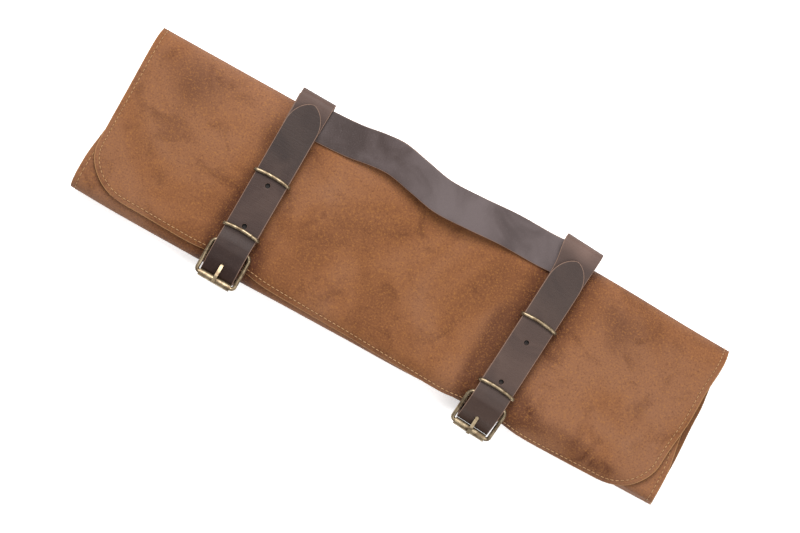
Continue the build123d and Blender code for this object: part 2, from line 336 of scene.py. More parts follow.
@dataclass(frozen=True)
class WaxedRollLeather:
    """Waxed nubuck of the roll: short nap, mottled, with painted shade beside the straps, where it
    is also squeezed, and patches of painted shade and painted light mixed with wear.
    """

    name: str = "waxed_roll_leather"
    body: Tone = Tone(115, 72, 42)
    deep: Tone = Tone(71, 37, 19)
    pale: Tone = Tone(124, 86, 63)
    nap: Tone = Tone(150, 102, 52)
    cut_edge: Tone = Tone(160, 120, 80)
    stitch_inset: float = 3.8 * MM

    def material(self) -> bpy.types.Material:
        """Build the leather.

        Returns:
            The finished material.
        """
        desk = ShaderDesk(self.name)
        at = desk.place()
        clouds = desk.noise(at, 11.0, 3.0, 0.55, 0.6)
        smudge = desk.noise(at, 38.0, 4.0, 0.6, 1.2)
        fleck = desk.noise(at, 820.0, 3.0, 0.66, 0.3)
        fine = desk.noise(at, 1900.0, 2.0, 0.6)
        rim = desk.attribute("rim")
        # Painted shade above 0 and painted light below 0, partly the leather's own squeezed and
        # rubbed tone.
        shade_and_wear = desk.attribute("shade_and_wear")
        light = (clouds.step(0.40, 0.68) * 0.62 + (0 - shade_and_wear).clipped() * 0.8).clipped()
        colour = desk.blend(light, self.body.linear(), self.pale.linear())
        dark = (smudge.step(0.50, 0.74) * 0.42 + (1 - clouds.step(0.30, 0.52)) * 0.42
                + shade_and_wear.step(0.1, 1.0) * 0.78).clipped()
        colour = desk.blend(dark, colour, self.deep.linear())
        colour = desk.blend(fleck.step(0.50, 0.72) * 0.50, colour, self.nap.linear())
        colour = desk.blend((1 - fleck.step(0.28, 0.48)) * 0.50, colour, self.deep.linear())
        colour = desk.blend(fine.step(0.56, 0.78) * 0.18, colour, self.pale.linear())
        # Painted shade of the stitch groove: a dark line along the stitching.
        groove_shade = (1 - (rim - self.stitch_inset).step(0.2 * MM, 0.9 * MM)) * (
            rim - self.stitch_inset + 0.9 * MM).step(0.0, 0.7 * MM)
        colour = desk.blend(groove_shade * 0.30, colour, self.deep.linear())
        worn = 1 - (rim + (fleck - 0.5) * 0.9 * MM).step(0.15 * MM, 0.85 * MM)
        colour = desk.blend(worn * 0.75, colour, self.cut_edge.linear())
        normal = desk.bump(fine, 0.05 * MM, desk.bump(fleck, 0.16 * MM))
        rough = 0.70 + fleck * 0.18 - shade_and_wear * 0.08
        return desk.dress(Base_Color=colour, Roughness=rough, Normal=normal,
                          Specular_IOR_Level=0.16, Sheen_Weight=0.03, Sheen_Roughness=0.5)


@dataclass(frozen=True)
class StrapLeather:
    """Dark bridle leather with pale cut edges and a fine, slightly creased grain."""

    name: str = "strap_leather"
    body: Tone = Tone(46, 28, 22)
    deep: Tone = Tone(34, 21, 18)
    # Pale bloom of the wax; on the handle, greyer, it is also a painted reflection of the sky on
    # the gloss.
    bloom_and_reflection: Tone = Tone(76, 58, 50)
    stretched: Tone = Tone(110, 87, 78)
    # Near black: painted shadow seen through the tail's holes, and the tail's darker tip and buckle
    # end.
    hole_shadow_and_dark: Tone = Tone(10, 7, 6)
    cut_edge: Tone = Tone(132, 105, 90)
    gloss: float = 0.52

    def material(self) -> bpy.types.Material:
        """Build the leather.

        Returns:
            The finished material.
        """
        desk = ShaderDesk(self.name)
        at = desk.place()
        clouds = desk.noise(at, 24.0, 3.0, 0.55, 0.8)
        fleck = desk.noise(at, 900.0, 3.0, 0.6)
        pores = desk.cells(at, 1300.0)
        crease = desk.noise(desk.stretched(desk.cut(), (60.0, 420.0, 1.0)), 1.0, 3.0, 0.6, 1.6)
        rim = desk.attribute("rim")
        shade_and_wear = desk.attribute("shade_and_wear")
        # Paler toward +X along the roll.
        paler_along_x = desk.axis(at, "X").step(-0.13, 0.10)
        share = (clouds.step(0.38, 0.66) * 0.35 + paler_along_x * 0.5).clipped()
        colour = desk.blend(share, self.body.linear(), self.bloom_and_reflection.linear())
        colour = desk.blend((1 - clouds.step(0.28, 0.48)) * 0.35, colour, self.deep.linear())
        colour = desk.blend((0 - shade_and_wear).clipped() * 0.8, colour, self.stretched.linear())
        # Painted shadow through the tail's holes; on the tail, darker toward its tip and buckle
        # end.
        colour = desk.blend(shade_and_wear.clipped() * 0.9, colour, self.hole_shadow_and_dark.linear())
        colour = desk.blend(fleck.step(0.52, 0.76) * 0.28, colour, self.bloom_and_reflection.linear())
        colour = desk.blend((1 - pores.step(0.06, 0.26)) * 0.35, colour, self.deep.linear())
        worn = 1 - (rim + (fleck - 0.5) * 0.35 * MM).step(0.10 * MM, 0.62 * MM)
        colour = desk.blend(worn * 0.82, colour, self.cut_edge.linear())
        normal = desk.bump(crease, 0.12 * MM, desk.bump(pores.step(0.0, 0.5), 0.05 * MM))
        rough = self.gloss + fleck * 0.14 + worn * 0.2
        return desk.dress(Base_Color=colour, Roughness=rough, Normal=normal,
                          Specular_IOR_Level=0.30)


@dataclass(frozen=True)
class AntiqueBrass:
    """Brown-bronze plating, rubbed bright where it is touched."""

    name: str = "antique_brass"
    bright: Tone = Tone(158, 142, 116)
    brown: Tone = Tone(104, 88, 69)

    def material(self) -> bpy.types.Material:
        """Build the metal.

        Returns:
            The finished material.
        """
        desk = ShaderDesk(self.name)
        at = desk.place()
        patches = desk.noise(at, 210.0, 4.0, 0.65, 0.6)
        grain = desk.noise(desk.stretched(at, (1800.0, 500.0, 900.0)), 1.0, 2.0)
        colour = desk.blend(patches.step(0.34, 0.66), self.brown.linear(), self.bright.linear())
        rough = 0.30 + (1 - patches) * 0.22 + grain * 0.12
        normal = desk.bump(grain, 0.008 * MM, desk.bump(patches, 0.015 * MM))
        return desk.dress(Base_Color=colour, Metallic=1.0, Roughness=rough, Normal=normal)


@dataclass(frozen=True)
class LiningCloth:
    """Plain woven cotton, seen inside the roll."""

    name: str = "lining_cloth"
    warp: Tone = Tone(176, 158, 130)
    weft: Tone = Tone(150, 131, 104)
    threads_per_metre: float = 1400.0

    def material(self) -> bpy.types.Material:
        """Build the cloth.

        Returns:
            The finished material.
        """
        desk = ShaderDesk(self.name)
        cut = desk.cut()
        across, along = (
            Signal(desk, desk.node("ShaderNodeTexWave", {"bands_direction": way}, Vector=cut,
                                   Scale=self.threads_per_metre * math.pi / 10,
                                   Distortion=0.4).outputs["Fac"])
            for way in "XY")
        over = across * 0.5 + along * 0.5
        slub = desk.noise(cut, 160.0, 3.0)
        colour = desk.blend(over.step(0.25, 0.75), self.weft.linear(), self.warp.linear())
        colour = desk.blend(slub.step(0.4, 0.7) * 0.25, colour, self.weft.linear())
        return desk.dress(Base_Color=colour, Roughness=0.9, Normal=desk.bump(over, 0.12 * MM),
                          Specular_IOR_Level=0.2, Sheen_Weight=0.2)


@dataclass(frozen=True)
class WaxedThread:
    """Twisted waxed thread of the seams."""

    name: str = "waxed_thread"
    body: Tone = Tone(176, 136, 92)
    shade: Tone = Tone(128, 90, 56)

    def material(self) -> bpy.types.Material:
        """Build the thread.

        Returns:
            The finished material.
        """
        desk = ShaderDesk(self.name)
        at = desk.place()
        twist = desk.noise(at, 2600.0, 2.0)
        age = desk.noise(at, 55.0, 3.0)
        colour = desk.blend(twist.step(0.35, 0.65), self.shade.linear(), self.body.linear())
        colour = desk.blend(age.step(0.5, 0.75) * 0.5, colour, self.shade.linear())
        return desk.dress(Base_Color=colour, Roughness=0.7, Normal=desk.bump(twist, 0.08 * MM))


@dataclass(frozen=True)
class StudioPaper:
    """Plain pale floor."""

    name: str = "studio_paper"
    body: Tone = Tone(250, 250, 250)

    def material(self) -> bpy.types.Material:
        """Build the floor's surface.

        Returns:
            The finished material.
        """
        return ShaderDesk(self.name).dress(
            Base_Color=self.body.linear(), Roughness=0.95, Specular_IOR_Level=0.1,
            Emission_Color=self.body.linear(), Emission_Strength=0.45)


@dataclass
class Wardrobe:
    """Every finish, made once."""

    roll: bpy.types.Material = field(default_factory=lambda: WaxedRollLeather().material())
    strap: bpy.types.Material = field(default_factory=lambda: StrapLeather().material())
    # The handle's grey bloom is partly a painted reflection of the sky on its gloss.
    handle: bpy.types.Material = field(default_factory=lambda: StrapLeather(
        name="handle_leather", body=Tone(46, 32, 28), bloom_and_reflection=Tone(94, 83, 83)).material())
    brass: bpy.types.Material = field(default_factory=lambda: AntiqueBrass().material())
    lining: bpy.types.Material = field(default_factory=lambda: LiningCloth().material())
    thread: bpy.types.Material = field(default_factory=lambda: WaxedThread().material())


# ---------------------------------------------------------------- routes and sheets


@dataclass
class Route:
    """Straight runs joined by arcs in a plane, walked by distance.

    Args:
        corners: The corner points, with both ends.
        radii: One arc radius for each inner corner.
    """

    corners: Sequence[Point2]
    radii: Sequence[float]
    spans: list[tuple[float, Callable[[float], tuple[Vector, Vector]]]] = field(init=False)
    length: float = field(init=False)

    def __post_init__(self) -> None:
        """Work out each run and arc."""
        self.spans = []
        points = [Vector(c) for c in self.corners]
        start = points[0]
        for before, corner, after, radius in zip(points, points[1:], points[2:], self.radii):
            way_in = (corner - before).normalized()
            way_out = (after - corner).normalized()
            turn = math.atan2(way_in.x * way_out.y - way_in.y * way_out.x, way_in.dot(way_out))
            reach = radius * math.tan(abs(turn) / 2)
            self.add_run(start, corner - way_in * reach)
            self.add_arc(corner - way_in * reach, way_in, turn, radius)
            start = corner + way_out * reach
        self.add_run(start, points[-1])
        self.length = sum(length for length, _ in self.spans)

    def add_run(self, start: Vector, end: Vector) -> None:
        """Add a straight run.

        Args:
            start: Its first point.
            end: Its last point.
        """
        span = end - start
        if span.length > 1e-7:
            way = span.normalized()
            self.spans.append((span.length, lambda d: (start + way * d, way)))

    def add_arc(self, start: Vector, way: Vector, turn: float, radius: float) -> None:
        """Add an arc that leaves start along way and turns by a signed angle.

        Args:
            start: Its first point.
            way: The direction there.
            turn: Angle turned, in radians.
            radius: Its radius.
        """
        side = math.copysign(1.0, turn)
        centre = start + Vector((-way.y, way.x)) * side * radius

        def walk(distance: float) -> tuple[Vector, Vector]:
            """Point and way at a distance along the arc.

            Args:
                distance: How far along the arc.

            Returns:
                The point, and the unit direction there.
            """
            angle = side * distance / radius
            spin = Matrix.Rotation(angle, 2)
            return centre + spin @ (start - centre), spin @ way

        self.spans.append((abs(turn) * radius, walk))

    def at(self, distance: float) -> tuple[Vector, Vector]:
        """The point and the direction at a distance from the start.

        Args:
            distance: How far along; past the ends the route runs straight on.

        Returns:
            The point, and the unit direction there.
        """
        left = distance
        for length, walk in self.spans:
            if left <= length:
                if left < 0:
                    point, way = walk(0.0)
                    return point + way * left, way
                return walk(left)
            left -= length
        length, walk = self.spans[-1]
        point, way = walk(length)
        return point + way * left, way


@dataclass
class Sheet:
    """A flat cut laid along a route, with its thickness.

    Args:
        name: The piece's name.
        route: The line that the cut's long or folded way follows, in the plane.
        plane: Matrix whose columns are the way along, the way up and the way across.
        rows: Distances of its rows along the route.
        sides: The cut's two edges at a distance along.
        columns: Faces across.
        thickness: Of the leather or cloth.
        offset: -1 when the route is its outer face, 0 when it is its middle.
        lift: How far its surface stands off the route.
        sway: Any other shift of a finished point.
        shade_and_wear: How dark the surface is painted, from 0 to 1, or how pale below 0: painted
            shade and painted light, partly real wear.
        thin: Share of the thickness, at a distance along.
        holes: Middle and half sizes of each oval hole, on the flat cut.
    """

    name: str
    route: Route
    plane: Matrix
    rows: Sequence[float]
    sides: Callable[[float], Point2]
    columns: int
    thickness: float
    offset: float = 0.0
    lift: Callable[[float, float], float] = lambda across, along: 0.0
    sway: Callable[[Vector], Vector] = lambda point: Vector((0, 0, 0))
    shade_and_wear: Callable[[Vector], float] = lambda point: 0.0
    thin: Callable[[float], float] = lambda along: 1.0
    holes: Sequence[tuple[Point2, Point2]] = ()

    def put(self, across: float, along: float, rise: float = 0.0) -> Vector:
        """Place a point of the flat cut in space.

        Args:
            across: Its distance across.
            along: Its distance along.
            rise: Height over the surface.

        Returns:
            The point in the model's frame.
        """
        point, way = self.route.at(along)
        out = Vector((-way.y, way.x))
        flat = point + out * (self.lift(across, along) + rise)
        placed = self.plane @ Vector((flat.x, flat.y, across))
        return placed + self.sway(placed)

    def outline(self) -> kdtree.KDTree:
        """Points spread along the cut's edge, for distances to it.

        Returns:
            The points, ready to be searched.
        """
        edge = []
        first, last = self.rows[0], self.rows[-1]
        for i in range(EDGE_STEPS + 1):
            along = first + (last - first) * i / EDGE_STEPS
            low, high = self.sides(along)
            edge += [(low, along), (high, along)]
        for end in (first, last):
            low, high = self.sides(end)
            edge += [(low + (high - low) * i / EDGE_STEPS, end) for i in range(EDGE_STEPS + 1)]
        found = kdtree.KDTree(len(edge))
        for i, (across, along) in enumerate(edge):
            found.insert(Vector((across, along, 0)), i)
        found.balance()
        return found

    def build(self, material: bpy.types.Material) -> bpy.types.Object:
        """Make the sheet.

        Args:
            material: Its finish.

        Returns:
            The finished piece, with its thickness.
        """
        bm = bmesh.new()
        bmesh.ops.create_grid(bm, x_segments=self.columns, y_segments=len(self.rows) - 1, size=0.5)
        rim = bm.verts.layers.float.new("rim")
        shade_and_wear = bm.verts.layers.float.new("shade_and_wear")
        thin = bm.verts.layers.deform.new("thin")
        edge = self.outline()
        flat = {}
        for v in bm.verts:
            row = round((v.co.y + 0.5) * (len(self.rows) - 1))
            along = self.rows[row]
            low, high = self.sides(along)
            flat[v.index] = Vector((low + (high - low) * (v.co.x + 0.5), along, 0))
        for v in bm.verts:
            v.co = flat[v.index]
        self.cut_holes(bm)
        cut = bm.loops.layers.uv.new("cut")
        for face in bm.faces:
            for loop in face.loops:
                loop[cut].uv = loop.vert.co.xy
        for v in bm.verts:
            v[rim] = min(edge.find(v.co)[2], self.hole_gap(v.co))
            v[thin][0] = self.thin(v.co.y)
            v.co = self.put(v.co.x, v.co.y)
            v[shade_and_wear] = self.shade_and_wear(v.co)
        self.face_out(bm)
        piece = to_object(bm, self.name, material)
        piece.vertex_groups.new(name="thin")
        wall = piece.modifiers.new("wall", "SOLIDIFY")
        wall.thickness = self.thickness
        wall.offset = self.offset
        wall.use_even_offset = False
        wall.vertex_group = "thin"
        wall.thickness_vertex_group = 0.0
        soften = piece.modifiers.new("soften", "BEVEL")
        soften.width = min(SOFT_EDGE, self.thickness * SOFT_SHARE)
        soften.segments = 2
        soften.limit_method = "ANGLE"
        soften.angle_limit = SOFT_ANGLE
        settle(piece)
        return piece

    def stand_in(self, material: bpy.types.Material, flat: Point2,
                 *nodes: str) -> bpy.types.Object:
        """Make the sheet in place of CAD nodes, and hide them.

        Args:
            material: Its finish.
            flat: Width and length of the flat cut; not used.
            nodes: The nodes that it replaces.

        Returns:
            The finished piece.
        """
        piece = self.build(material)
        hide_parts(*nodes)
        return piece

    def face_out(self, bm: bmesh.types.BMesh) -> None:
        """Turn every face to the right of the route's way, which is its outer side.

        Args:
            bm: The mesh, with its points where the next step wants them.
        """
        bmesh.ops.recalc_face_normals(bm, faces=bm.faces)
        along = self.rows[len(self.rows) // 2]
        low, high = self.sides(along)
        spot = self.put((low + high) / 2, along)
        _, way = self.route.at(along)
        outward = self.plane.to_3x3() @ Vector((way.y, -way.x, 0))
        nearest = min(bm.faces, key=lambda f: (f.calc_center_median() - spot).length)
        if nearest.normal.dot(outward) < 0:
            bmesh.ops.reverse_faces(bm, faces=bm.faces)

    def cut_holes(self, bm: bmesh.types.BMesh) -> None:
        """Remove the faces inside each hole and draw the edge left to its true shape.

        Args:
            bm: The mesh, with its points where the next step wants them.
        """
        for (x, y), (half_w, half_l) in self.holes:
            inside = [f for f in bm.faces
                      if self.in_hole(f.calc_center_median(), x, y, half_w, half_l)]
            ring = {v for f in inside for v in f.verts
                    if not all(g in inside for g in v.link_faces)}
            bmesh.ops.delete(bm, geom=inside, context="FACES")
            for v in ring:
                dx, dy = (v.co.x - x) / half_w, (v.co.y - y) / half_l
                size = max(1e-6, math.hypot(dx, dy))
                v.co.x, v.co.y = x + dx / size * half_w, y + dy / size * half_l

    @staticmethod
    def in_hole(point: Vector, x: float, y: float, half_w: float, half_l: float) -> bool:
        """Whether a point of the flat cut lies in an oval hole."""
        return ((point.x - x) / half_w) ** 2 + ((point.y - y) / half_l) ** 2 < 1.0

    def hole_gap(self, point: Vector) -> float:
        """Distance from a point of the flat cut to the nearest hole's edge."""
        gaps = [abs(math.hypot(point.x - x, point.y - y) - min(w, h))
                for (x, y), (w, h) in self.holes]
        return min(gaps, default=1.0) + SOFT_EDGE


def to_object(bm: bmesh.types.BMesh, name: str, material: bpy.types.Material) -> bpy.types.Object:
    """Turn a bmesh into a smooth-shaded object with one material.

    Args:
        bm: The mesh, which is freed.
        name: The object's name.
        material: Its finish.

    Returns:
        The new object, linked into the scene.
    """
    mesh = bpy.data.meshes.new(name)
    for face in bm.faces:
        face.smooth = True
    bm.to_mesh(mesh)
    bm.free()
    mesh.materials.append(material)
    piece = bpy.data.objects.new(name, mesh)
    bpy.context.scene.collection.objects.link(piece)
    return piece


def settle(piece: bpy.types.Object) -> None:
    """Apply a piece's modifiers to its mesh.

    Args:
        piece: The piece.
    """
    bpy.context.view_layer.update()
    seen = piece.evaluated_get(bpy.context.evaluated_depsgraph_get())
    done = bpy.data.meshes.new_from_object(seen, preserve_all_data_layers=True,
                                           depsgraph=bpy.context.evaluated_depsgraph_get())
    piece.modifiers.clear()
    piece.data = done
    piece.vertex_groups.clear()


def spread(first: float, last: float, step: float) -> list[float]:
    """Evenly spaced distances from first to last, about step apart."""
    count = max(1, round((last - first) / step))
    return [first + (last - first) * i / count for i in range(count + 1)]


def rounded_rows(first: float, last: float, step: float, radius: float,
                 turns: int = 12) -> list[float]:
    """Distances that crowd toward a rounded end.

    Args:
        first: The square end.
        last: The rounded end.
        step: Spacing before the rounding starts.
        radius: Length of the rounding.
        turns: Rows in the rounding.

    Returns:
        The distances, in order.
    """
    rows = spread(first, last - radius, step)
    return rows + [last - radius + radius * math.sin(math.pi / 2 * i / turns)
                   for i in range(1, turns + 1)]


# ---------------------------------------------------------------- the roll's own sizes


@dataclass
class RollShape:
    """The roll's sizes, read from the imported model's nodes."""

    leather: float = 2.0 * MM
    cloth: float = 0.8 * MM
    corner: float = 34.0 * MM
    bulge: float = 3.0 * MM
    pitch: float = 3.6 * MM
    inset: float = 3.8 * MM
    strap_half: float = 12.7 * MM
    unevenness: float = 0.6 * MM
    # Patches of painted shade (above 0) and painted light (below 0), partly rubbed wear: middle x
    # and y, spread along x and along y in mm, and strength.
    shade_light_and_wear_spots: Sequence[tuple[float, float, float, float, float]] = (
        (160, 36, 34, 22, 0.75), (142, -52, 44, 9, 0.95), (190, -56, 30, 8, 0.8),
        (-188, 28, 30, 16, 0.35), (-196, -14, 26, 20, 0.4), (20, -8, 40, 20, 0.25),
        (-205, -64, 50, 7, -1.0), (-150, 10, 22, 30, -0.5), (205, -20, 30, 24, -0.6),
        (-60, 12, 26, 22, -0.4), (82, -6, 14, 36, 1.0), (-190, 48, 44, 18, 0.7),
        (-128, 0, 10, 30, 0.2), (190, 50, 34, 12, 0.2))
    straps: dict[str, tuple[float, float]] = field(default_factory=dict)

    def __post_init__(self) -> None:
        """Read the boxes of the covers and the straps' lines."""
        self.back_low, self.back_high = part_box("back_panel")
        self.flap_low, self.flap_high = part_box("flap_panel")
        self.fold_low, self.fold_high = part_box("bottom_fold")
        self.inner_low, self.inner_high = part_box("inner_panel")
        self.fold_y = self.back_high.y
        self.top_z = self.flap_high.z
        self.base_z = self.back_low.z
        for joint in frame["joints"]:
            if joint["name"].endswith("_keeper_slide"):
                side = joint["name"].split("_")[0]
                low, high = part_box(f"{side}_loose_keeper")
                middle = (low + high) / 2
                slope = joint["axis"][0] / joint["axis"][1]
                self.straps[side] = (middle.x - middle.y * slope, slope)

    def strap_gap(self, point: Vector) -> float:
        """Distance along X from a point to the nearest strap's middle line."""
        return min(abs(point.x - x - point.y * slope) for x, slope in self.straps.values())

    def shade_and_wear(self, point: Vector) -> float:
        """Painted shade beside the straps and in a few patches, with painted light in others,
        partly squeezed and worn leather.

        Args:
            point: A point of the model.

        Returns:
            Up to 1 where it is dark, and below 0 where it is pale.
        """
        mottle = 0.8 + 0.5 * ripple(point.x, point.y, 45, 3.1)
        # Painted shade along both sides of each strap, more of it toward the lower edge.
        beside = bell(max(0.0, self.strap_gap(point) - self.strap_half), 14 * MM)
        low = 0.35 * smooth(10 * MM, -50 * MM, point.y)
        # Patches of painted shade and painted light, partly rubbed wear.
        worn = sum(depth * bell(point.x - x * MM, wide * MM) * bell(point.y - y * MM, deep * MM)
                   for x, y, wide, deep, depth in self.shade_light_and_wear_spots)
        return min(1.0, (beside * (0.75 + low) + worn) * mottle)

    def swell(self, x: float, y: float) -> float:
        """How far the flap stands up between the straps.

        Args:
            x: Place along the roll.
            y: Place across the roll.

        Returns:
            The height over the flat flap.
        """
        gap = max(0.0, self.strap_gap(Vector((x, y, 0))) - self.strap_half - 2.6 * MM)
        held = 1 - 0.5 * bell(gap, 14 * MM) - 0.5 * bell(gap, 8 * MM) * smooth(62 * MM, 44 * MM, y)
        waves = 0.9 * ripple(x, y, 13, 0.4) + 0.35 * ripple(x, y, 37, 1.9)
        return (self.bulge * held + waves * MM * held) * smooth(246 * MM, 190 * MM, abs(x)) * (
            smooth(62 * MM, 34 * MM, y))

    def wander(self, point: Vector) -> Vector:
        """The small unevenness that every layer shares: the top fold and the two ends.

        Args:
            point: A point of the model.

        Returns:
            How far the point is moved.
        """
        fold = smooth(38 * MM, 62 * MM, point.y)
        full = 1.8 * MM * smooth(140 * MM, -80 * MM, point.x)
        draw = 3.2 * MM * smooth(120 * MM, 232 * MM, point.x)
        end = (self.unevenness * ripple(point.y, point.z, 22, 5.0)
               * smooth(200 * MM, 232 * MM, abs(point.x)))
        out = 3.4 * smooth(-34 * MM, 8 * MM, point.y) + 1.8 * smooth(20 * MM, 50 * MM, point.y)
        reach = out * MM * smooth(170 * MM, 230 * MM, point.x)
        left = -1.2 * MM * smooth(-170 * MM, -230 * MM, point.x)
        return Vector((end + reach + left, (full - draw) * fold, 0))

    def turn_under(self, point: Vector) -> Vector:
        """The outer cover's own unevenness: its lower part meets the under layers' ends.

        Args:
            point: A point of the model.

        Returns:
            How far the point is moved.
        """
        under = smooth(26 * MM, 6 * MM, point.z) * smooth(0.0, self.fold_y, point.y)
        left = -2.2 * MM * under * smooth(-150 * MM, -228 * MM, point.x)
        right = 1.2 * MM * under * smooth(150 * MM, 228 * MM, point.x)
        return self.wander(point) + Vector((left + right, 0, 0))

    def splay(self, point: Vector) -> Vector:
        """The under layers creep out past the flap at both ends and along the lower fold.

        Args:
            point: A point of the model.

        Returns:
            How far the point is moved.
        """
        near_right = smooth(150 * MM, 232 * MM, point.x)
        ledge = smooth(15 * MM, 22 * MM, point.z)
        down = smooth(10 * MM, -50 * MM, point.y)
        left = -(6.2 + 1.6 * down) * MM * smooth(-150 * MM, -228 * MM, point.x)
        left *= 1 - 0.45 * smooth(-44 * MM, -4 * MM, point.y) * ledge
        high = smooth(5 * MM, 28 * MM, point.z)
        up = smooth(-34 * MM, 8 * MM, point.y)
        out = 1.6 * smooth(14 * MM, -34 * MM, point.y)
        up += 1.3 * smooth(12 * MM, 46 * MM, point.y)
        right = (6.5 + out - 3.5 * high - 3.4 * up) * MM * near_right
        tuck = -4.5 * MM * smooth(-46 * MM, -4 * MM, point.y) * ledge * near_right
        corner = 1 - smooth(190 * MM, 236 * MM, abs(point.x)) * 0.25
        sag = (1.0 + 1.8 * smooth(110 * MM, 20 * MM, point.x)
               + 1.5 * smooth(0.0, -110 * MM, point.x)) * corner
        drop = -sag * MM * smooth(-36 * MM, -60 * MM, point.y)
        return self.wander(point) + self.crease(point) + Vector((left + right + tuck, drop, 0))

    def crease(self, point: Vector) -> Vector:
        """The lower fold is pinched to a crease near its right end.

        Args:
            point: A point of the model.

        Returns:
            How far the point is moved.
        """
        middle = Vector((point.x, -self.fold_y, (self.fold_low.z + self.fold_high.z) / 2))
        out = point - middle
        angle = math.degrees(math.atan2(out.z, -out.y))
        pinch = 0.17 * bell(angle - 58, 20) - 0.10 * bell(angle - 18, 24)
        return out * pinch * smooth(120 * MM, 200 * MM, point.x)


UPRIGHT = Matrix(((0, 0, 1), (1, 0, 0), (0, 1, 0)))


@dataclass
class Covers:
    """The leather covers, their linings and their seams."""

    shape: RollShape
    wardrobe: Wardrobe
    cell: float = 3.2 * MM
    droop: float = math.radians(66)
    slant: float = 11.0 * MM
    short_end: float = 4.2 * MM

    def outer_route(self, inside: float) -> Route:
        """Line from under the top fold, over the flap, to its free edge.

        Args:
            inside: How far inside the cover's outer face the line runs.

        Returns:
            The route, in Y and Z.
        """
        s = self.shape
        high, low = s.top_z - inside, s.base_z + inside
        radius = (high - low) / 2
        centre_z = (s.fold_low.z + s.fold_high.z) / 2
        fall = high - centre_z
        end_y = -s.fold_y - fall * math.sin(self.droop)
        end_z = centre_z + fall * math.cos(self.droop)
        half_turn = math.tan(self.droop / 2) * fall
        corner = (-s.fold_y - half_turn, high)
        reach = s.fold_y + radius
        return Route(
            [(s.fold_y, low), (reach, low), (reach, high), corner, (end_y, end_z)],
            [radius - 0.01 * MM, radius - 0.01 * MM, fall],
        )

    def inner_route(self, inside: float) -> Route:
        """Line from the free edge of the inner leaf, round the lower fold, to the back.

        Args:
            inside: How far inside the cover's outer face the line runs.

        Returns:
            The route, in Y and Z.
        """
        s = self.shape
        high, low = s.inner_high.z - inside, s.base_z + inside
        radius = (high - low) / 2
        reach = -s.fold_y - radius
        return Route(
            [(s.inner_high.y, high), (reach, high), (reach, low), (-s.fold_y, low)],
            [radius - 0.01 * MM, radius - 0.01 * MM],
        )

    def flap_edge(self, across: float) -> float:
        """How far short of the route's end the flap is cut, at a place along the roll."""
        slant = self.slant * smooth(self.shape.flap_high.x, self.shape.flap_low.x, across)
        return slant + self.short_end * smooth(120 * MM, 200 * MM, across)

    def outer_sides(self, route: Route, margin: float) -> Callable[[float], Point2]:
        """The outer cover's two ends, rounded toward the free edge.

        Args:
            route: The cover's route.
            margin: How far inside the true cut.

        Returns:
            A function from a distance along to the two ends.
        """
        s = self.shape
        radius = s.corner - margin

        def sides(along: float) -> Point2:
            """The two ends at a distance along the route.

            Args:
                along: Distance along the route.

            Returns:
                The low end and the high end.
            """
            past = max(0.0, along - (route.length - s.corner)) / radius
            pull = radius * (1 - math.sqrt(max(0.0, 1 - min(1.0, past) ** 2)))
            return s.flap_low.x + margin + pull, s.flap_high.x - margin - pull

        return sides

    def outer_lift(self, route: Route) -> Callable[[float, float], float]:
        """How far the outer cover stands off its route.

        Args:
            route: The line that it is laid along.

        Returns:
            A function from a place across and along to the height.
        """
        fold = math.pi * (self.shape.top_z - self.shape.base_z) / 2

        def lift(across: float, along: float) -> float:
            """Height off the route, which starts only past the top fold.

            Args:
                across: Distance across the cut.
                along: Distance along the route.

            Returns:
                The height, below 0 toward the outside.
            """
            point, _ = route.at(along)
            body = smooth(0.35 * fold, 1.1 * fold, along)
            return -self.shape.swell(across, point.x) * body

        return lift

    def outer_cover(self) -> Sheet:
        """The outer leather, from under the top fold to the flap's free edge.

        Returns:
            The cover, not yet built.
        """
        route = self.outer_route(0.0)
        lift = self.outer_lift(route)
        return Sheet(
            name="outer_cover", route=route, plane=UPRIGHT,
            rows=rounded_rows(0.0, route.length, self.cell, self.shape.corner),
            sides=self.outer_sides(route, 0.0), columns=140, thickness=self.shape.leather,
            offset=-1.0, lift=lift, sway=self.shape.turn_under, shade_and_wear=self.shape.shade_and_wear,
        )

    def back_sheet(self, name: str, level: float, ends: Point2, thickness: float) -> Sheet:
        """A flat layer of the back.

        Args:
            name: The piece's name.
            level: Height of its lower face.
            ends: Its two ends along the roll.
            thickness: Of the leather or cloth.

        Returns:
            The layer.
        """
        s = self.shape
        route = Route([(-s.fold_y, level), (s.fold_y, level)], [])
        return Sheet(
            name=name, route=route, plane=UPRIGHT, rows=spread(0.0, route.length, self.cell * 1.5),
            sides=lambda along: ends, columns=90, thickness=thickness, offset=-1.0, sway=s.splay,
        )

    def build(self) -> list[bpy.types.Object]:
        """Make every cover, lining and seam.

        Returns:
            The finished pieces.
        """
        s, w = self.shape, self.wardrobe
        outer = SlantedEdge(self.outer_cover(), self.flap_edge, s.corner)
        flat = (s.flap_high.x - s.flap_low.x, outer.route.length)
        made = [self.flap_blend(outer.stand_in(w.roll, flat, "flap_panel", "top_fold"))]

        inner_route = self.inner_route(0.0)
        ends = (s.inner_low.x, s.inner_high.x)
        inner = Sheet(
            name="inner_cover", route=inner_route, plane=UPRIGHT,
            rows=spread(0.0, inner_route.length, self.cell), sides=lambda along: ends,
            columns=110, thickness=s.leather, offset=-1.0, sway=s.splay, shade_and_wear=s.shade_and_wear,
            lift=lambda x, along: 0.3 * MM * ripple(x, along, 24, 7.0),
        )
        flat = (ends[1] - ends[0], inner_route.length)
        made.append(self.leaf_blend(inner.stand_in(w.roll, flat, "inner_panel", "bottom_fold")))

        back = self.back_sheet("back_cover", s.base_z, ends, s.leather)
        flat = (ends[1] - ends[0], back.route.length)
        made.append(back.stand_in(w.roll, flat, "back_panel"))
        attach(made[-1], "case")
        made += self.linings() + self.seams(outer, inner, back)
        for piece in made:
            "lining" if "lining" in piece.name else "roll_leather"
        return made

